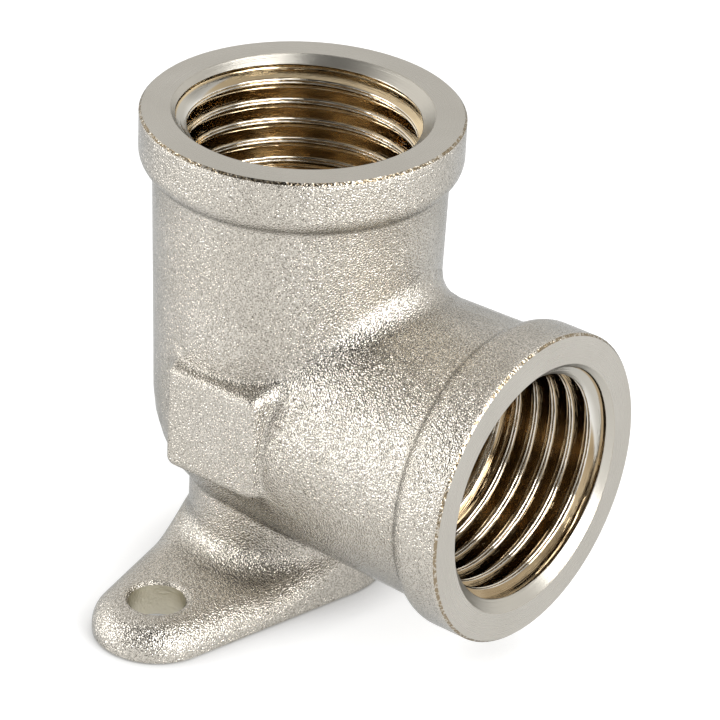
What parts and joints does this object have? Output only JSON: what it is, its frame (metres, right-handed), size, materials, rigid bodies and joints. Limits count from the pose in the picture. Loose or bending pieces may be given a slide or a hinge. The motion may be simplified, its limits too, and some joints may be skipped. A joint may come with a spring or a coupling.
{
  "type": "wall plate elbow",
  "caption": "Right-angle pipe elbow with female threaded ports and a flat two-eared plate that screws to a wall.",
  "frame": {"origin": "on the flat underside of the wall plate, below the outlet port's axis", "axes": "+Z away from the wall along the outlet port, +X along the inlet port, the plate's ears along Y"},
  "size_m": [0.0388, 0.0448, 0.042],
  "materials": {
    "nickel_plated_brass": "shot-blasted nickel plate with a fine bright grain, mouth faces and threads machined"
  },
  "bodies": {
    "root": {"elbow_body": "nickel_plated_brass"}
  },
  "joints": []
}
